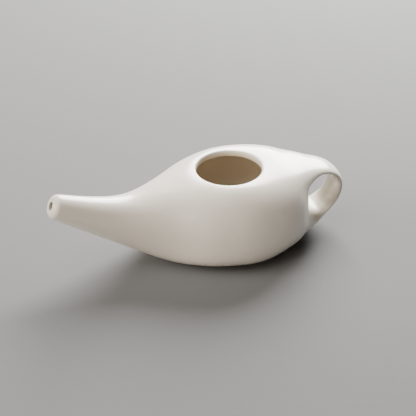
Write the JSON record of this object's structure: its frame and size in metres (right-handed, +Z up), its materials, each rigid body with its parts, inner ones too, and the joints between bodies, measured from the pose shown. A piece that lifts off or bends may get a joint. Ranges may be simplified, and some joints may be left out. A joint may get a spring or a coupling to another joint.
{
  "type": "neti pot",
  "caption": "Low glazed ceramic rinsing pot with a round mouth, a long rising horn spout, a looped strap handle opposite it and a flat unglazed foot.",
  "frame": {"origin": "on the table, under the middle of the mouth", "axes": "+Z up out of the mouth, +X towards the handle, so that the spout points along -X; the pot is the same on both sides of the XZ plane"},
  "size_m": [0.1907, 0.088, 0.0556],
  "materials": {
    "glaze": "glossy warm white glaze",
    "bisque": "bare fired clay, matt"
  },
  "bodies": {
    "root": {"bowl": "glaze", "spout": "glaze", "handle": "glaze", "foot": "bisque"}
  },
  "joints": []
}
